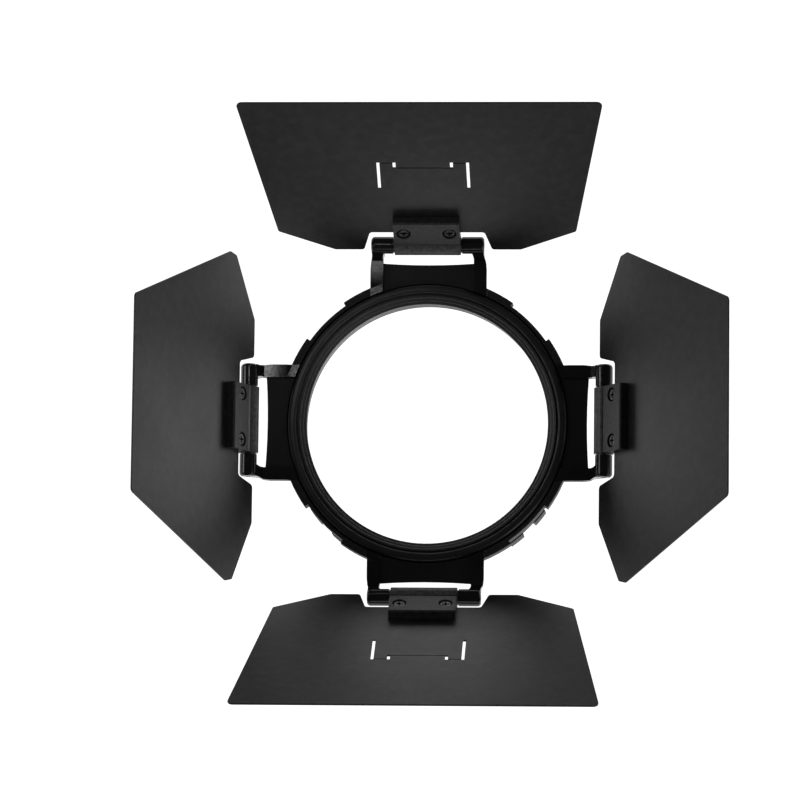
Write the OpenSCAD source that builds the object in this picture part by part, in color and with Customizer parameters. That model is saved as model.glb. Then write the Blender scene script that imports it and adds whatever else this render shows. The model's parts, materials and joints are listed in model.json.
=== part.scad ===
// Four-leaf barn door attachment for a round lamp head.
// The ring's axis is Z and the beam leaves towards +Z. The rear face lies at Z = 0 and slips over
// the lamp head. Each leaf swings on a friction hinge that is carried by a yoke of the turning ring.
// All dimensions are in millimetres and all angles in degrees.

/* [Mounting sleeve] */
// Bore that slips over the lamp head
lamp_bore_d = 75.2; // [74.6:0.1:75.6]
// Depth of the lamp head socket
socket_depth = 8; // [7:0.5:9]
// Diameter of the clear opening for the beam
opening_d = 67.4; // [66.6:0.2:67.8]
// Thickness of the rear flange
flange_h = 12.2; // [12.2:0.2:14]
// Number of holding magnets in the socket's shoulder
magnet_count = 8; // [4:4:8]

/* [Turning ring] */
// Height of the turning ring
ring_h = 5.2; // [5.2:0.1:5.4]
// Outer diameter of the turning ring between its pads
ring_d = 80.7; // [80.3:0.1:81.1]
// Outer diameter of the turning ring at its four pads
pad_d = 82.8; // [82:0.2:83.4]
// Angle that each pad covers
pad_angle = 70; // [60:1:76]

/* [Bezel] */
// Outer diameter of the front bezel
bezel_d = 78; // [77.6:0.2:78.4]
// Height of the front bezel
bezel_h = 2.8; // [2.8:0.1:3.6]

/* [Yokes] */
// Width of a yoke over the outer faces of its arms
yoke_w = 32.6; // [32:0.2:33]
// Thickness of a yoke arm
arm_t = 3.6; // [3.3:0.1:3.8]
// Distance from the ring's axis to each hinge pin
hinge_r = 49.5; // [49.3:0.1:50.5]
// Height of the hinge pins above the bezel's rim
hinge_rise = 3.6; // [3.2:0.1:6]
// Diameter of the knuckles that hold the hinge pin
knuckle_d = 4.8; // [4.4:0.1:5]

/* [Hinges] */
// Diameter of the hinge pins
pin_d = 1.6; // [1.4:0.1:1.8]
// Width of the hinge blocks
block_w = 18.5; // [17:0.1:18.6]
// Length of a hinge block from its pin to its outer end
block_l = 12; // [11.6:0.2:14]
// Thickness of a hinge block over the leaf
block_t = 2.5; // [2.2:0.1:3.2]
// Diameter of the barrel around the pin
barrel_d = 5.6; // [5.4:0.1:5.7]

/* [Leaves] */
// Thickness of the leaf sheet
leaf_t = 0.5; // [0.4:0.1:1]
// Length of the two wide leaves from the hinge pin
wide_leaf_l = 59; // [50:0.2:62]
// Width of the two wide leaves at the outer edge
wide_leaf_w = 100; // [90:1:104]
// Length of the two tapered leaves from the hinge pin
tapered_leaf_l = 60.8; // [50:0.2:62]
// Width of the two tapered leaves at the outer edge
tapered_leaf_w = 53.8; // [48:0.2:64]

/* [Pose] */
// Angle of the top leaf above the ring's plane
top_angle = 59; // [-60:0.5:120]
// Angle of the right leaf above the ring's plane
right_angle = 55.5; // [-60:0.5:120]
// Angle of the bottom leaf above the ring's plane
bottom_angle = 55; // [-60:0.5:120]
// Angle of the left leaf above the ring's plane
left_angle = 64.5; // [-60:0.5:120]

/* [Hidden] */
$fn = 96;
eps = 0.01;

// Running clearance on the radius of a turning fit, and play between flat faces
running = 0.05;
play = 0.05;

// Heights of the stack, from the rear face forwards
washer_h = 0.5;
ring_z = flange_h + washer_h + 2 * play;
ring_top = ring_z + ring_h;
seat_z = ring_z + 2.3;
bezel_z = seat_z + washer_h + 2 * play;
bezel_top = bezel_z + bezel_h;
hinge_z = bezel_top + hinge_rise;

// Radii of the stack
barrel_r = 36.94;
ring_bore_r = barrel_r + running;
sleeve_bore_r = opening_d / 2 + 0.5;
flange_r = 39.2;
grip_r = 40.4;
rim_in_r = bezel_d / 2 + 0.3;
washer_r = 38.7;
screw_circle_r = 35.7;
magnet_circle_r = 35.9;

// Yoke proportions
web_edge = 45.1;
web_z = ring_top - 1.8;
web_top = ring_top - 0.8;
arm_in = 37.6;
arm_z = ring_top - 2;
arm_top = ring_top + 0.4;
arm_bend = 45.7;
knuckle_inset = 0.5;
knuckle_in = block_w / 2 + 0.4;
knuckle_out = yoke_w / 2 - knuckle_inset;

// Clamp screws of a leaf, measured from the pin and from the block's middle
screw_v = 7.5;
screw_u = 6.4;
screw_r = 0.95;
back_t = 1.5;

// Doors: name, direction around the ring, angle of the leaf, true for the wide outline
DOORS = [
    ["top", 0, top_angle, true],
    ["right", -90, right_angle, false],
    ["bottom", 180, bottom_angle, true],
    ["left", 90, left_angle, false]
];
DOOR_PARTS = ["leaf", "hinge_block", "backing_plate", "clamp_screws", "hinge_washers", "hinge_pin"];

// ---- Helpers ----

// Unit vector from a to b, and the angle at which it points
function unit(a, b) = (b - a) / norm(b - a);
function heading(v) = atan2(v[1], v[0]);

// Points of an arc about c
function arc(c, r, a0, a1, steps = 8) =
    [for (i = [0:steps]) c + r * [cos(a0 + (a1 - a0) * i / steps), sin(a0 + (a1 - a0) * i / steps)]];

// Arc that rounds corner p between its neighbours a and b, by radius r
function round_corner(a, p, b, r) =
    let (
        ua = unit(p, a),
        ub = unit(p, b),
        half = acos(ua * ub) / 2,
        c = p + unit([0, 0], ua + ub) * r / sin(half),
        t0 = heading(p + ua * r / tan(half) - c),
        turn = heading(p + ub * r / tan(half) - c) - t0,
        sweep = turn > 180 ? turn - 360 : turn < -180 ? turn + 360 : turn
    )
    arc(c, r, t0, t0 + sweep, 6);

// Closed outline of corners [x, y, radius], each rounded by its own radius
function rounded(corners) =
    let (n = len(corners))
    [for (i = [0:n - 1])
        let (
            a = corners[(i + n - 1) % n],
            p = corners[i],
            b = corners[(i + 1) % n]
        )
        each round_corner([a[0], a[1]], [p[0], p[1]], [b[0], b[1]], p[2])];

// One half of an outline completed by its mirror image about the Y axis
function mirrored(half) =
    concat(half, [for (i = [len(half) - 1:-1:0]) [-half[i][0], half[i][1], half[i][2]]]);

// Point where the tangent from p touches the circle of radius r about c; side is 1 or -1
function tangent_point(p, c, r, side) =
    let (
        d = norm(c - p),
        a = heading(c - p) + side * asin(r / d),
        l = sqrt(d * d - r * r)
    )
    p + l * [cos(a), sin(a)];

// Flat ring
module ring(r_out, r_in, h) {
    difference() {
        cylinder(r = r_out, h = h);
        translate([0, 0, -1]) cylinder(r = r_in, h = h + 2);
    }
}

// Children repeated around the ring
module around(count, start = 0) {
    for (i = [0:count - 1])
        rotate([0, 0, start + i * 360 / count]) children();
}

// Cylinder along the hinge line, from x = x0 to x = x1
module along_hinge(r, x0, x1) {
    translate([x0, 0, 0]) rotate([0, 90, 0]) cylinder(r = r, h = x1 - x0);
}

// Side profile in the radial plane, extruded along the hinge line and centred on it
module profile_along_hinge(points, width) {
    translate([-width / 2, 0, 0])
        rotate([90, 0, 90])
            linear_extrude(width) polygon(points);
}

// Places a door's parts: x runs along the hinge pin, y outwards along the leaf, z to its lit side
module at_door(door) {
    rotate([0, 0, door[1]])
        translate([0, hinge_r, hinge_z])
            rotate([door[2], 0, 0]) children();
}

// ---- Ring ----

// Rear flange, lamp socket and the barrel that the turning ring runs on
module mount_sleeve() {
    color("#1c1c1d")
    difference() {
        union() {
            rotate_extrude() polygon([
                [lamp_bore_d / 2, 0], [flange_r - 0.5, 0], [flange_r, 0.5],
                [flange_r, flange_h - 0.5], [flange_r - 0.5, flange_h],
                [barrel_r, flange_h], [barrel_r, bezel_z], [sleeve_bore_r, bezel_z],
                [sleeve_bore_r, socket_depth], [lamp_bore_d / 2, socket_depth]
            ]);
            finger_grips();
        }
        around(magnet_count, 22.5) magnet_at(1.5, 1.5 + eps);
        around(4, 45) bezel_screw_at() {
            translate([0, 0, -eps]) cylinder(r = 1.45, h = 1.2 + eps, $fn = 48);
            cylinder(r = 0.85, h = bezel_z, $fn = 48);
        }
    }
}

// Pairs of raised grips on the rear flange, one pair on each diagonal
module finger_grips() {
    grip_angle = 6.4;
    grip_step = 12.8;
    around(4, 45)
        for (side = [-0.5, 0.5])
            rotate([0, 0, side * grip_step - grip_angle / 2])
                rotate_extrude(angle = grip_angle) polygon([
                    [flange_r - 0.6, 1], [flange_r, 1], [grip_r, 1.9], [grip_r, flange_h - 3],
                    [flange_r, flange_h - 2], [flange_r - 0.6, flange_h - 2]
                ]);
}

// Disc of a magnet, standing in the shoulder of the socket
module magnet_at(r, h) {
    translate([magnet_circle_r, 0, socket_depth - (h - 1.5)]) cylinder(r = r, h = h, $fn = 48);
}

// Place of a bezel screw, at the shoulder of the socket
module bezel_screw_at() {
    translate([screw_circle_r, 0, socket_depth]) children();
}

// Magnets that pull the attachment onto a steel lamp ring
module holding_magnets() {
    color("silver")
    around(magnet_count, 22.5) magnet_at(1.48, 1.5);
}

// Slip washer between the flange and the turning ring
module rear_glide_washer() {
    color("ivory")
    translate([0, 0, flange_h + play]) ring(washer_r, ring_bore_r, washer_h);
}

// Slip washer between the turning ring and the bezel
module front_glide_washer() {
    color("ivory")
    translate([0, 0, seat_z + play]) ring(washer_r, ring_bore_r, washer_h);
}

// Ring that turns on the sleeve, surrounds the bezel and carries the four yokes
module turning_ring() {
    chamfer = 0.2;
    color("#202021")
    difference() {
        union() {
            difference() {
                union() {
                    rotate_extrude() polygon([
                        [ring_bore_r, ring_z], [pad_d / 2 - chamfer, ring_z],
                        [pad_d / 2, ring_z + chamfer], [pad_d / 2, ring_top - chamfer],
                        [pad_d / 2 - chamfer, ring_top], [rim_in_r, ring_top],
                        [rim_in_r, seat_z], [ring_bore_r, seat_z]
                    ]);
                    around(4) web();
                }
                around(4) web_pocket();
                around(4, 45) recess(chamfer);
            }
            around(4) arms();
        }
        around(4)
            translate([0, hinge_r, hinge_z])
                along_hinge(pin_d / 2, -yoke_w / 2, yoke_w / 2, $fn = 48);
    }
}

// Shallow recess between two pads of the turning ring
module recess(chamfer) {
    recess_angle = 90 - pad_angle;
    floor_r = ring_d / 2;
    rotate([0, 0, -recess_angle / 2])
        rotate_extrude(angle = recess_angle) polygon([
            [floor_r - 1 - chamfer, ring_z - 1], [floor_r, ring_z + chamfer],
            [floor_r, ring_top - chamfer], [floor_r - 1 - chamfer, ring_top + 1],
            [pad_d, ring_top + 1], [pad_d, ring_z - 1]
        ]);
}

// Plate between a yoke's arms, with a slightly hollow outer edge
module web() {
    edge_hollow = 0.45;
    span = yoke_w - 2 * arm_t;
    edge_r = (span * span / 4 + edge_hollow * edge_hollow) / (2 * edge_hollow);
    difference() {
        translate([-span / 2 - 0.6, arm_in - 1, web_z])
            cube([span + 1.2, web_edge - arm_in + 1, web_top + 0.3 - web_z]);
        translate([0, 0, web_z - 1]) cylinder(r = rim_in_r + 0.6, h = 4);
        translate([0, web_edge - edge_hollow + edge_r, web_z - 1])
            cylinder(r = edge_r, h = 4, $fn = 720);
    }
}

// Lowers the ring's front face and the web between the arms
module web_pocket() {
    span = yoke_w - 2 * arm_t;
    translate([-span / 2 - 0.2, bezel_d / 4, web_top])
        cube([span + 0.4, web_edge, 4]);
}

// Both arms of a yoke
module arms() {
    for (side = [0, 1]) mirror([side, 0, 0]) arm();
}

// Arm of a yoke: flat along the ring, then rising to the knuckle, which turns inwards
module arm() {
    knuckle_r = knuckle_d / 2;
    boss = 0.1;
    pivot = [hinge_r, hinge_z];
    low = [arm_bend - 0.3, arm_z];
    bend = [arm_bend, arm_top];
    inner = yoke_w / 2 - arm_t;
    side_profile = [
        [arm_in, arm_z], low,
        tangent_point(low, pivot, knuckle_r - 0.12, -1), pivot,
        tangent_point(bend, pivot, knuckle_r - 0.12, 1), bend,
        [arm_in + 2, arm_top - 0.1], [arm_in, ring_top - 0.3]
    ];
    plan = [
        [inner, arm_in - 2], [yoke_w / 2, arm_in - 2], [yoke_w / 2, arm_bend - 2.1],
        [yoke_w / 2 - 0.2, arm_bend - 0.1], [knuckle_out - boss, arm_bend + 1],
        [knuckle_out - boss, hinge_r + knuckle_d], [inner - 0.45, hinge_r + knuckle_d],
        [inner - 0.45, arm_bend + 1.7], [inner, arm_bend + 0.7]
    ];
    intersection() {
        profile_along_hinge(side_profile, yoke_w + 2);
        linear_extrude(hinge_z + knuckle_d) polygon(plan);
    }
    translate([0, hinge_r, hinge_z]) knuckle(knuckle_r);
}

// Knuckle around the hinge line, rounded at its outer end
module knuckle(r) {
    rotate([0, 90, 0])
        rotate_extrude() polygon([
            [0, knuckle_in], [r, knuckle_in], [r, knuckle_out - 0.9], [r - 0.15, knuckle_out - 0.4],
            [r - 0.6, knuckle_out], [0, knuckle_out]
        ]);
}

// Bezel: a rounded rim, a groove and a stepped cone down to the opening
module front_bezel() {
    rim_r = 1.1;
    groove_r = 36.4;
    cone_r = 36.1;
    steps = 3;
    step_w = (cone_r - opening_d / 2) / steps;
    step_h = 0.6;
    cone_top = bezel_top - 0.6;
    cone = [for (i = [0:steps - 1]) each [
        [cone_r - i * step_w, cone_top - i * step_h],
        [cone_r - (i + 0.82) * step_w, cone_top - (i + 0.6) * step_h]
    ]];
    color("#262627")
    difference() {
        rotate_extrude() polygon(concat(
            [[sleeve_bore_r, bezel_z], [bezel_d / 2 - 0.3, bezel_z], [bezel_d / 2, bezel_z + 0.3]],
            arc([bezel_d / 2 - rim_r, bezel_top - rim_r], rim_r, 0, 90),
            arc([groove_r + 0.9, bezel_top - 0.7], 0.7, 90, 160, 4),
            [[groove_r + 0.1, bezel_top - 1.1], [groove_r - 0.15, bezel_top - 1.1]],
            cone,
            [[opening_d / 2, cone_top - steps * step_h], [opening_d / 2, bezel_z + 0.2]]
        ));
        around(4, 45) bezel_screw_at() cylinder(r = 0.75, h = bezel_z - socket_depth + 1, $fn = 48);
    }
}

// Screws that hold the bezel to the sleeve from behind
module bezel_screws() {
    head_h = 0.9;
    color("dimgray")
    around(4, 45) bezel_screw_at()
        difference() {
            union() {
                translate([0, 0, 1.2 - head_h]) cylinder(r = 1.35, h = head_h, $fn = 48);
                cylinder(r = 0.7, h = bezel_z - socket_depth + 0.9, $fn = 48);
            }
            translate([0, 0, -eps]) cross_slot(1.5, 0.35, 0.7);
        }
}

// Cross-shaped driver slot
module cross_slot(length, width, depth) {
    for (turn = [0, 90])
        rotate([0, 0, turn])
            translate([-length / 2, -width / 2, 0]) cube([length, width, depth]);
}

// ---- Doors ----

// Outline of a wide leaf: flared outwards, with a notch that clears the yoke
function wide_outline() = rounded(mirrored([
    [9, 3.4, 0.5], [9, 5.4, 0.5], [16, 5.4, 1], [17.9, -1.9, 1], [26, -1.9, 1.4],
    [41.6, 5.8, 1], [wide_leaf_w / 2, wide_leaf_l, 1.5]
]));

// Outline of a tapered leaf: widest beside its hinge, with clipped tips
function tapered_outline() = rounded(mirrored([
    [9, 3.4, 0.5], [9, 5.2, 0.5], [16.05, 5.2, 1.2], [18, -2.5, 1.2], [28.65, -2.5, 1.4],
    [45.4, 7.8, 1], [46.1, 11.1, 1], [tapered_leaf_w / 2, tapered_leaf_l, 1.5]
]));

// Leaf sheet, with holes for its clamp screws and the wide leaf's spring tongue
module leaf(wide) {
    color("#2b2b2c")
    difference() {
        translate([0, 0, -leaf_t])
            linear_extrude(leaf_t) polygon(wide ? wide_outline() : tapered_outline());
        for (side = [-1, 1])
            translate([side * screw_u, screw_v, -leaf_t - 1])
                cylinder(r = screw_r + 0.15, h = leaf_t + 2, $fn = 48);
        if (wide) tongue_cuts();
    }
}

// Cuts that free a stepped tongue for a filter: two slits, two relief holes and fine cuts between
module tongue_cuts() {
    slit_u = 12.35;
    slit_w = 0.8;
    root_v = 23.9;
    ear_v = 34.6;
    step_v = 32.6;
    relief_u = 7.9;
    fine = 0.22;
    for (side = [0, 1]) mirror([side, 0, 0]) {
        cut(slit_u - slit_w / 2, slit_u + slit_w / 2, root_v, ear_v);
        cut(relief_u - slit_w / 2, relief_u + slit_w / 2, step_v - fine, ear_v);
        cut(relief_u, slit_u, ear_v - fine, ear_v);
        cut(-eps, relief_u, step_v - fine, step_v);
    }
}

// Rectangular cut through the sheet
module cut(u0, u1, v0, v1) {
    translate([u0, v0, -leaf_t - 1]) cube([u1 - u0, v1 - v0, leaf_t + 2]);
}

// Hinge block on the lit side of the leaf: the barrel around the pin and the clamp plate
module hinge_block() {
    barrel_half = barrel_d / 2;
    ramp_v = 2.2;
    ramp_w = sqrt(barrel_half * barrel_half - ramp_v * ramp_v);
    plate_v = 3.5;
    edge = 0.4;
    color("#262627")
    difference() {
        union() {
            along_hinge(barrel_half, -block_w / 2, block_w / 2);
            profile_along_hinge([
                [0, 0], [0, 1.2 - barrel_half], [3.1, 1.2 - barrel_half], [3.1, 0], [block_l, 0],
                [block_l, block_t - edge], [block_l - edge, block_t], [plate_v, block_t],
                [ramp_v, ramp_w]
            ], block_w);
        }
        along_hinge(pin_d / 2 + running, -block_w, block_w, $fn = 48);
        for (side = [-1, 1])
            translate([side * screw_u, screw_v, 0]) {
                translate([0, 0, -1]) cylinder(r = screw_r + 0.15, h = block_t + 2, $fn = 48);
                translate([0, 0, block_t - 1.3]) cylinder(r = 1.95, h = 2, $fn = 48);
            }
    }
}

// Threaded plate behind the leaf
module backing_plate() {
    color("#262627")
    difference() {
        translate([0, 0, -leaf_t - back_t])
            linear_extrude(back_t) polygon(rounded([
                [-block_w / 2, 3.4, 0.6], [block_w / 2, 3.4, 0.6],
                [block_w / 2, block_l, 0.6], [-block_w / 2, block_l, 0.6]
            ]));
        for (side = [-1, 1])
            translate([side * screw_u, screw_v, -leaf_t - back_t - 1])
                cylinder(r = screw_r + 0.02, h = back_t + 2, $fn = 48);
    }
}

// Pair of pan-head screws that squeeze the leaf between block and plate
module clamp_screws() {
    head_h = 0.95;
    seat = block_t - 1.3;
    tail = leaf_t + back_t + 0.3;
    color("#3a3a3c")
    for (side = [-1, 1])
        translate([side * screw_u, screw_v, 0])
            difference() {
                union() {
                    translate([0, 0, seat]) cylinder(r = 1.5, h = head_h, $fn = 48);
                    translate([0, 0, -tail]) cylinder(r = screw_r, h = tail + seat, $fn = 48);
                }
                translate([0, 0, seat + head_h - 0.5]) cross_slot(1.9, 0.4, 1);
            }
}

// Spring washers that press the block's faces against the knuckles
module hinge_washers() {
    color("#4a4a4c")
    for (side = [0, 1]) mirror([side, 0, 0])
        difference() {
            along_hinge(2.1, block_w / 2 + play, knuckle_in - play, $fn = 64);
            along_hinge(pin_d / 2 + running, 0, block_w, $fn = 48);
        }
}

// Hinge pin, pressed into both knuckles
module hinge_pin() {
    half = knuckle_out - 0.15;
    tip = 0.3;
    color("#8d8d90")
    for (side = [0, 1]) mirror([side, 0, 0]) {
        along_hinge(pin_d / 2, 0, half - tip, $fn = 48);
        translate([half - tip, 0, 0])
            rotate([0, 90, 0]) cylinder(r1 = pin_d / 2, r2 = pin_d / 2 - 0.2, h = tip, $fn = 48);
    }
}

// ---- Nodes ----

mount_sleeve();
holding_magnets();
rear_glide_washer();
turning_ring();
front_glide_washer();
front_bezel();
bezel_screws();
for (door = DOORS) {
    at_door(door) leaf(door[3]);
    at_door(door) hinge_block();
    at_door(door) backing_plate();
    at_door(door) clamp_screws();
    at_door(door) hinge_washers();
    at_door(door) hinge_pin();
}
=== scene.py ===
"""Looks for the four-leaf barn door attachment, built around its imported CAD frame.

Lengths are in metres unless a name says mm. The ring's axis is Z and the beam leaves towards +Z.
"""
import json
import math

import bmesh
import bpy
from mathutils import Matrix, Vector


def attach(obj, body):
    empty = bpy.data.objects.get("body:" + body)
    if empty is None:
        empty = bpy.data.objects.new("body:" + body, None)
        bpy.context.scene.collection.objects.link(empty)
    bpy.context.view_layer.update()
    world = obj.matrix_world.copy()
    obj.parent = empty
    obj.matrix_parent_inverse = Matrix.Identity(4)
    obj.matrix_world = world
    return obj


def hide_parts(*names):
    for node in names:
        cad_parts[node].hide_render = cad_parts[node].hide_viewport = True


MM = 0.001
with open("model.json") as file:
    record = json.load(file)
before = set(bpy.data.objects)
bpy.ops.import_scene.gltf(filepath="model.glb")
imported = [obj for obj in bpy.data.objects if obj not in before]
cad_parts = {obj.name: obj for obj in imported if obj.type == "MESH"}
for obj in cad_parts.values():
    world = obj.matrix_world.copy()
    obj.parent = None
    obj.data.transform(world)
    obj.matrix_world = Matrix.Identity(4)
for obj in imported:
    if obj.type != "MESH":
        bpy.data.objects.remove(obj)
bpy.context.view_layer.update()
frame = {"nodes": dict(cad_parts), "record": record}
record = frame["record"]
scene = bpy.context.scene
body_of_node = {node: body for body, nodes in record["behaviour"]["bodies"].items() for node in nodes}


# ---- Stage: camera, floor and lights ----

def make_camera():
    """A long lens, looking down on the front of the ring from slightly below and to its right."""
    aim = Vector((-7.55, 6.29, 18.5)) * MM
    tilt = math.radians(-8.168)
    turn = math.radians(-3.61)
    roll = math.radians(-0.161)
    distance = 1.5087
    lens_mm = 243.16
    sensor_mm = 36
    seen = Matrix.Rotation(roll, 3, "Z") @ Matrix.Rotation(turn, 3, "Y") @ Matrix.Rotation(tilt, 3, "X")
    place = seen.transposed().to_4x4()
    place.translation = aim + seen.transposed() @ Vector((0, 0, distance))
    data = bpy.data.cameras.new("camera")
    data.lens = lens_mm
    data.sensor_width = sensor_mm
    data.clip_start = 0.01
    data.clip_end = 20
    camera = bpy.data.objects.new("camera", data)
    camera.matrix_world = place
    scene.collection.objects.link(camera)
    scene.camera = camera


def make_floor():
    """A pale floor that glows like a light table, below the doors even when they're folded back."""
    half_side = 2.5
    level = -0.042
    corners = [(x * half_side, y * half_side, level) for x, y in ((-1, -1), (1, -1), (1, 1), (-1, 1))]
    mesh = bpy.data.meshes.new("floor")
    mesh.from_pydata(corners, [], [(0, 1, 2, 3)])
    floor = bpy.data.objects.new("floor", mesh)
    scene.collection.objects.link(floor)
    look = Look("floor_white")
    look.set("Base Color", (0.8, 0.8, 0.8, 1))
    look.set("Roughness", 0.9)
    look.set("Specular IOR Level", 0.0)
    look.set("Emission Color", (1, 1, 1, 1))
    look.set("Emission Strength", 1.0)
    mesh.materials.append(look.material)


def area_light(name, place, target, width, height, watts):
    """A soft rectangular light at place, aimed at target."""
    data = bpy.data.lights.new(name, "AREA")
    data.shape = "RECTANGLE"
    data.size = width
    data.size_y = height
    data.energy = watts
    light = bpy.data.objects.new(name, data)
    light.location = place
    light.rotation_euler = (Vector(target) - Vector(place)).to_track_quat("-Z", "Y").to_euler()
    scene.collection.objects.link(light)


def light_from_above(name, x, y, width, height, watts):
    """A tiny light straight above a yoke's arm, for the glint on it."""
    above = 0.118
    area_light(name, (x, y, above), (x, y, 0), width, height, watts)


def make_lights():
    """Low soft lights at the sides and front, two glints, and the glow of the lamp in the opening."""
    centre = (0, 0, 0.03)
    area_light("side_left", (-0.9, 0.1, 0.5), centre, 0.35, 0.3, 1.5)
    area_light("side_right", (0.9, -0.15, 0.4), centre, 0.4, 0.3, 0.7)
    area_light("low_right", (0.7, -0.7, 0.55), centre, 0.4, 0.3, 1.3)
    area_light("low_front", (0.05, -0.9, 0.42), centre, 0.4, 0.25, 0.45)
    light_from_above("kicker_top", -0.0235, 0.0565, 0.012, 0.012, 0.0025)
    light_from_above("kicker_left", -0.0515, 0.0315, 0.014, 0.008, 0.005)
    area_light("lamp_glow", (0, 0, 0.0005), (0, 0, 1), 0.058, 0.058, 0.013)


def make_world():
    """A dim even surround, and plain display of the colours."""
    world = bpy.data.worlds.new("studio")
    world.use_nodes = True
    background = world.node_tree.nodes["Background"]
    background.inputs["Color"].default_value = (1, 1, 1, 1)
    background.inputs["Strength"].default_value = 0.05
    scene.world = world
    scene.view_settings.view_transform = "Standard"
    scene.view_settings.look = "None"


# ---- Materials ----

# Where a piece changes its finish. Each pair is the start and the end of the change
BARREL_SIDE = (0.0489, 0.0492)  # from a middle plane, the end of a hinge barrel's side towards the ring
SLEEVE_FLANGE = (0.0126, 0.0128)  # height between the sleeve's flange and the turning ring
SLEEVE_BARREL = (0.0368, 0.037)  # radius of the sleeve's barrel, inside the turning ring
YOKE_SIDE = (0.0163, 0.0166)  # from a middle plane, the outer sides of a yoke
PAD_FACE = (0.0417, 0.0421)  # radius just outside the pads, where only the yokes' arms go on
WEB_TOP = (0.0174, 0.0178)  # height just above the recessed webs between the yokes' arms
CONE_RIM = (0.0359, 0.0362)  # radius where the bezel's cone meets its rim


class Look:
    """Builds one procedural material, in the coordinates of the object it's on."""

    def __init__(self, name):
        self.material = bpy.data.materials.new(name)
        self.material.use_nodes = True
        self.nodes = self.material.node_tree.nodes
        self.links = self.material.node_tree.links
        self.shader = self.nodes["Principled BSDF"]
        self.place = self.nodes.new("ShaderNodeTexCoord").outputs["Object"]

    def set(self, socket, value):
        """Gives the shader a constant."""
        self.shader.inputs[socket].default_value = value

    def feed(self, socket, output):
        """Gives the shader another node's output."""
        self.links.new(output, self.shader.inputs[socket])

    def put(self, target, value):
        """Links an output to an input, or sets a constant."""
        if isinstance(value, bpy.types.NodeSocket):
            self.links.new(value, target)
        else:
            target.default_value = value

    def calculate(self, operation, a, b=0.0):
        """One step of arithmetic on outputs or constants."""
        node = self.nodes.new("ShaderNodeMath")
        node.operation = operation
        self.put(node.inputs[0], a)
        self.put(node.inputs[1], b)
        return node.outputs[0]

    def add(self, a, b):
        return self.calculate("ADD", a, b)

    def times(self, a, b):
        return self.calculate("MULTIPLY", a, b)

    def either(self, a, b):
        """The larger of two masks."""
        return self.calculate("MAXIMUM", a, b)

    def noise(self, scale, detail=3.0, roughness=0.5, place=None):
        """Soft noise with scale features to the metre."""
        node = self.nodes.new("ShaderNodeTexNoise")
        node.inputs["Scale"].default_value = scale
        node.inputs["Detail"].default_value = detail
        node.inputs["Roughness"].default_value = roughness
        self.links.new(place or self.place, node.inputs["Vector"])
        return node.outputs["Fac"]

    def cells(self, scale):
        """Distance to the middle of the nearest grain, with scale grains to the metre."""
        node = self.nodes.new("ShaderNodeTexVoronoi")
        node.inputs["Scale"].default_value = scale
        self.links.new(self.place, node.inputs["Vector"])
        return node.outputs["Distance"]

    def stretched(self, x, y, z):
        """The object's coordinates, scaled by x, y and z."""
        node = self.nodes.new("ShaderNodeMapping")
        node.inputs["Scale"].default_value = (x, y, z)
        self.links.new(self.place, node.inputs["Vector"])
        return node.outputs["Vector"]

    def axes(self):
        """The object's x, y and z, apart."""
        split = self.nodes.new("ShaderNodeSeparateXYZ")
        self.links.new(self.place, split.inputs[0])
        return split.outputs["X"], split.outputs["Y"], split.outputs["Z"]

    def radius(self):
        """Distance from the ring's axis."""
        x, y, _ = self.axes()
        return self.calculate("SQRT", self.add(self.times(x, x), self.times(y, y)))

    def height(self):
        """Distance along the ring's axis."""
        return self.axes()[2]

    def across(self, operation):
        """MINIMUM or MAXIMUM of the distances from the ring's two middle planes."""
        x, y, _ = self.axes()
        return self.calculate(operation, self.calculate("ABSOLUTE", x), self.calculate("ABSOLUTE", y))

    def lathe_lines(self, scale):
        """Fine noise that changes only with the distance from the ring's axis."""
        join = self.nodes.new("ShaderNodeCombineXYZ")
        self.links.new(self.radius(), join.inputs["X"])
        return self.noise(scale, 2, 0.6, join.outputs[0])

    def ramp(self, value, low, high, start=0.0, end=1.0):
        """start below low, end above high, and a straight slope between."""
        node = self.nodes.new("ShaderNodeMapRange")
        self.links.new(value, node.inputs["Value"])
        for socket, number in zip(("From Min", "From Max", "To Min", "To Max"), (low, high, start, end)):
            node.inputs[socket].default_value = number
        return node.outputs["Result"]

    def within(self, value, change):
        """1 below the change of finish and 0 above it."""
        return self.ramp(value, *change, 1, 0)

    def beyond(self, value, change):
        """0 below the change of finish and 1 above it."""
        return self.ramp(value, *change)

    def blend(self, factor, a, b):
        """Colour a where factor is 0 and b where it's 1."""
        node = self.nodes.new("ShaderNodeMix")
        node.data_type = "RGBA"
        # The node has an A, a B and a Result for each type of data. These are the ones for colours
        colour_a, colour_b, colour_result = node.inputs[6], node.inputs[7], node.outputs[2]
        self.put(node.inputs["Factor"], factor)
        self.put(colour_a, a)
        self.put(colour_b, b)
        return colour_result

    def edges(self, width, low=0.02, high=0.22):
        """1 along edges, to the given width, where a rounded surface would lean away from the real one."""
        bevel = self.nodes.new("ShaderNodeBevel")
        bevel.samples = 4
        bevel.inputs["Radius"].default_value = width
        flat = self.nodes.new("ShaderNodeNewGeometry").outputs["Normal"]
        dot = self.nodes.new("ShaderNodeVectorMath")
        dot.operation = "DOT_PRODUCT"
        self.links.new(bevel.outputs[0], dot.inputs[0])
        self.links.new(flat, dot.inputs[1])
        return self.ramp(self.calculate("SUBTRACT", 1.0, dot.outputs["Value"]), low, high)

    def worn(self, colour, bare, width, scale, low, high, most):
        """The colour, with its edges rubbed towards bare in patches, by most at the most."""
        patches = self.ramp(self.noise(scale, 3), low, high, 0, most)
        return self.blend(self.times(self.edges(width), patches), colour, bare)

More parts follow.
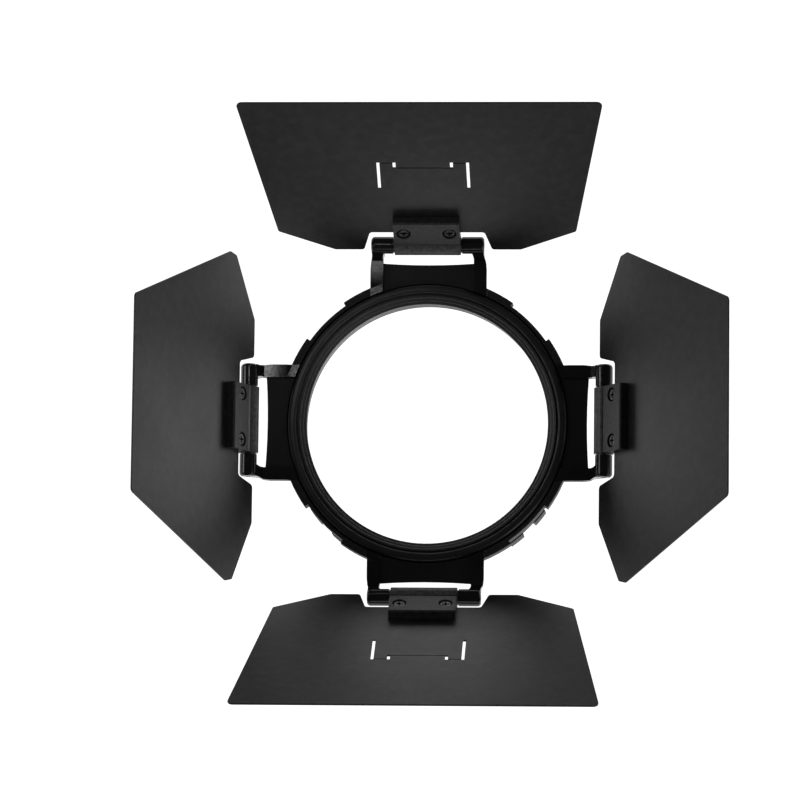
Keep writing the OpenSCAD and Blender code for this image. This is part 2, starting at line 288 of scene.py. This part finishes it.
    def bump(self, *layers):
        """Adds (height, depth in metres) layers to the surface's normal."""
        normal = None
        for height, depth in layers:
            node = self.nodes.new("ShaderNodeBump")
            node.inputs["Strength"].default_value = 1.0
            node.inputs["Distance"].default_value = depth
            self.links.new(height, node.inputs["Height"])
            if normal:
                self.links.new(normal, node.inputs["Normal"])
            normal = node.outputs["Normal"]
        self.feed("Normal", normal)


def grey(level, tint=0.0):
    """A neutral colour, cooler where tint is above 0 and warmer where it's below."""
    return (level, level, level * (1 + tint), 1)


def leaf_coating():
    """Fine-grained matte black powder coat: orange peel, tiny speckle, and thin paint at the edges."""
    look = Look("leaf_coating")
    cloud = look.noise(55, 3)
    peel = look.noise(2300, 2)
    speckle = look.noise(5200, 2, 0.7)
    mottle = look.noise(340, 4, 0.6)
    colour = look.blend(look.ramp(cloud, 0.35, 0.65), grey(0.004), grey(0.007))
    colour = look.blend(look.ramp(mottle, 0.42, 0.66), colour, grey(0.013))
    colour = look.blend(look.ramp(speckle, 0.57, 0.78, 0, 0.5), colour, grey(0.035))
    colour = look.worn(colour, grey(0.11), 0.0003, 420, 0.45, 0.7, 0.5)
    look.feed("Base Color", colour)
    sheen = look.ramp(peel, 0.3, 0.7, 0.4, 0.48)
    drift = look.ramp(cloud, 0.3, 0.7, -0.03, 0.03)
    look.feed("Roughness", look.add(sheen, drift))
    look.set("Specular IOR Level", 0.38)
    look.bump((mottle, 0.00003), (peel, 0.000018), (speckle, 0.00001))
    return look.material


def block_casting():
    """Rough cast metal under black paint, rubbed at the edges and smoother on the barrel's side to the
    ring, where a paler grey is a painted highlight.
    """
    look = Look("block_casting")
    lumps = look.noise(900, 4, 0.65)
    grains = look.cells(2400)
    barrel = look.within(look.across("MAXIMUM"), BARREL_SIDE)
    # Painted highlight: the barrel's side towards the ring is painted a paler grey in patches, standing in
    # for the light that it catches.
    pale = look.times(barrel, look.ramp(lumps, 0.3, 0.6, 0.4, 1))
    colour = look.blend(look.ramp(lumps, 0.35, 0.7), grey(0.015), grey(0.036))
    colour = look.blend(pale, colour, grey(0.11))
    colour = look.worn(colour, grey(0.13), 0.00035, 700, 0.42, 0.66, 0.55)
    look.feed("Base Color", colour)
    rubbed = look.times(barrel, -0.2)
    look.feed("Roughness", look.add(look.ramp(lumps, 0.3, 0.75, 0.46, 0.6), rubbed))
    look.set("Specular IOR Level", 0.36)
    look.bump((lumps, 0.00009), (grains, 0.00004))
    return look.material


def ring_plastic():
    """Moulded nylon: satin on the yokes, a coarse spark-eroded grain on the pads and the sleeve."""
    look = Look("ring_plastic")
    radius = look.radius()
    sleeve = look.either(look.within(look.height(), SLEEVE_FLANGE), look.within(radius, SLEEVE_BARREL))
    off_yokes = look.either(look.beyond(look.across("MINIMUM"), YOKE_SIDE), sleeve)
    grained = look.times(look.within(radius, PAD_FACE), off_yokes)
    cloud = look.noise(130, 3)
    fibres = look.noise(1500, 3, 0.6, look.stretched(1, 1, 0.25))
    erosion = look.noise(1900, 3, 0.7)
    colour = look.blend(look.ramp(cloud, 0.35, 0.65), grey(0.009), grey(0.013))
    colour = look.blend(look.times(grained, look.ramp(erosion, 0.4, 0.7)), colour, grey(0.045))
    colour = look.worn(colour, grey(0.07), 0.0003, 520, 0.45, 0.68, 0.35)
    look.feed("Base Color", colour)
    matt = look.either(grained, look.within(look.height(), WEB_TOP))
    look.feed("Roughness", look.add(look.ramp(fibres, 0.3, 0.7, 0.13, 0.2), look.times(matt, 0.4)))
    look.set("Specular IOR Level", 0.34)
    look.bump((fibres, 0.000012), (look.times(erosion, grained), 0.00022))
    return look.material


def bezel_black():
    """Satin black anodised aluminium: turned lines on the rim, a grained finish on the inner cone."""
    look = Look("bezel_black")
    cone = look.within(look.radius(), CONE_RIM)
    turned = look.lathe_lines(9000)
    cloud = look.noise(160, 3)
    grain = look.noise(2600, 3, 0.7)
    colour = look.blend(look.ramp(cloud, 0.35, 0.65), grey(0.028, 0.03), grey(0.038, 0.03))
    colour = look.blend(look.times(cone, look.ramp(grain, 0.42, 0.7)), colour, grey(0.07))
    colour = look.worn(colour, grey(0.12), 0.00025, 600, 0.45, 0.7, 0.4)
    look.feed("Base Color", colour)
    look.feed("Roughness", look.add(look.ramp(turned, 0.3, 0.7, 0.32, 0.4), look.times(cone, 0.14)))
    look.set("Metallic", 0.3)
    look.bump((turned, 0.000004), (look.times(grain, cone), 0.00006))
    return look.material


def screw_steel():
    """Black-oxide steel, rubbed bright along the edges and in the driver slots."""
    look = Look("screw_steel")
    blotch = look.noise(900, 3)
    fine = look.noise(4200, 2)
    colour = look.blend(look.ramp(blotch, 0.4, 0.65), grey(0.014, 0.05), grey(0.04, 0.05))
    bright = look.times(look.edges(0.00012, 0.03, 0.3), look.ramp(fine, 0.42, 0.62, 0.05, 0.8))
    look.feed("Base Color", look.blend(bright, colour, grey(0.5)))
    look.feed("Roughness", look.ramp(fine, 0.3, 0.7, 0.26, 0.42))
    look.set("Metallic", 1.0)
    look.bump((fine, 0.000012))
    return look.material


def drawn_steel(name, level, rough):
    """Steel with fine scratches that run the way the hinge pins lie, square to the ring's axis."""
    look = Look(name)
    scratches = look.noise(2600, 3, 0.6, look.stretched(0.1, 0.1, 1))
    cloud = look.noise(300, 2)
    colour = look.blend(look.ramp(scratches, 0.35, 0.65), grey(level * 0.75), grey(level, 0.03))
    look.feed("Base Color", colour)
    scratched = look.ramp(scratches, 0.3, 0.7, rough - 0.05, rough + 0.08)
    look.feed("Roughness", look.add(scratched, look.ramp(cloud, 0.3, 0.7, 0, 0.06)))
    look.set("Metallic", 1.0)
    look.bump((scratches, 0.000006))
    return look.material


def magnet_nickel():
    """Bright nickel plate with faint orange peel and dulled rims."""
    look = Look("magnet_nickel")
    peel = look.noise(700, 3)
    dull = look.times(look.edges(0.0003), look.ramp(peel, 0.4, 0.65, 0.2, 0.9))
    look.feed("Base Color", look.blend(dull, grey(0.7, -0.03), grey(0.36, -0.04)))
    look.feed("Roughness", look.ramp(peel, 0.3, 0.7, 0.14, 0.26))
    look.set("Metallic", 1.0)
    look.bump((peel, 0.00001))
    return look.material


def washer_plastic():
    """Off-white slip plastic with a skived face."""
    look = Look("washer_plastic")
    lines = look.noise(1300, 3, 0.5, look.stretched(1, 0.12, 1))
    shade = look.ramp(lines, 0.35, 0.65)
    look.feed("Base Color", look.blend(shade, (0.66, 0.64, 0.58, 1), (0.74, 0.72, 0.66, 1)))
    look.feed("Roughness", look.ramp(lines, 0.3, 0.7, 0.42, 0.56))
    look.bump((lines, 0.00001))
    return look.material


def make_materials():
    """One material for each slot name in the record."""
    return {
        "leaf_coating": leaf_coating(),
        "block_casting": block_casting(),
        "ring_plastic": ring_plastic(),
        "bezel_black": bezel_black(),
        "screw_steel": screw_steel(),
        "pin_steel": drawn_steel("pin_steel", 0.52, 0.26),
        "spring_steel": drawn_steel("spring_steel", 0.16, 0.3),
        "magnet_nickel": magnet_nickel(),
        "washer_plastic": washer_plastic(),
    }


# ---- Pieces ----

# Edge radius in mm that each kind of piece leaves its mould, press or lathe with, by its node's ending
EDGES = {
    "leaf": 0.16, "hinge_block": 0.28, "backing_plate": 0.22, "clamp_screws": 0.14, "hinge_washers": 0.06,
    "hinge_pin": 0.08, "mount_sleeve": 0.22, "turning_ring": 0.3, "front_bezel": 0.1, "bezel_screws": 0.1,
    "holding_magnets": 0.14, "glide_washer": 0.08,
}
SAME_POINT = 2e-6  # corners this close are one
NO_LENGTH = 1e-6  # edges this short are none
FLAT = math.radians(0.6)  # faces that meet at less than this are one flat face
ROUNDED_FROM = math.radians(28)  # edges sharper than this are rounded
SHARP_FROM = math.radians(40)  # edges sharper than this aren't shaded over


def welded(node):
    """A copy of a node's mesh with its corners joined and its flat faces free of needless edges."""
    shape = bmesh.new()
    shape.from_mesh(node.data)
    bmesh.ops.remove_doubles(shape, verts=shape.verts, dist=SAME_POINT)
    bmesh.ops.dissolve_degenerate(shape, dist=NO_LENGTH, edges=shape.edges)
    bmesh.ops.dissolve_limit(shape, angle_limit=FLAT, verts=shape.verts, edges=shape.edges)
    bmesh.ops.recalc_face_normals(shape, faces=shape.faces)
    mesh = bpy.data.meshes.new(node.name + "_finished")
    shape.to_mesh(mesh)
    shape.free()
    return mesh


def rounded(piece, radius):
    """The piece's mesh with its edges rounded to the given radius."""
    bevel = piece.modifiers.new("rounded edges", "BEVEL")
    bevel.limit_method = "ANGLE"
    bevel.angle_limit = ROUNDED_FROM
    bevel.width = radius
    bevel.segments = 2
    bevel.use_clamp_overlap = True
    graph = bpy.context.evaluated_depsgraph_get()
    mesh = bpy.data.meshes.new_from_object(piece.evaluated_get(graph))
    piece.modifiers.clear()
    return mesh


def finish_node(name, material):
    """Replaces a CAD node by the same shape with rounded edges and smooth shading."""
    kind = next(kind for kind in EDGES if name.endswith(kind))
    piece = bpy.data.objects.new(name + "_piece", welded(frame["nodes"][name]))
    scene.collection.objects.link(piece)
    mesh = rounded(piece, EDGES[kind] * MM)
    piece.data = mesh
    mesh.shade_smooth()
    mesh.set_sharp_from_angle(angle=SHARP_FROM)
    weighted = piece.modifiers.new("weighted normals", "WEIGHTED_NORMAL")
    weighted.keep_sharp = True
    mesh.materials.clear()
    mesh.materials.append(material)
    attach(piece, body_of_node[name])
    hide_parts(name)


make_camera()
make_floor()
make_lights()
make_world()
materials = make_materials()
for part in record["subparts"]:
    finish_node(part["node"], materials[part["material_slot"]])
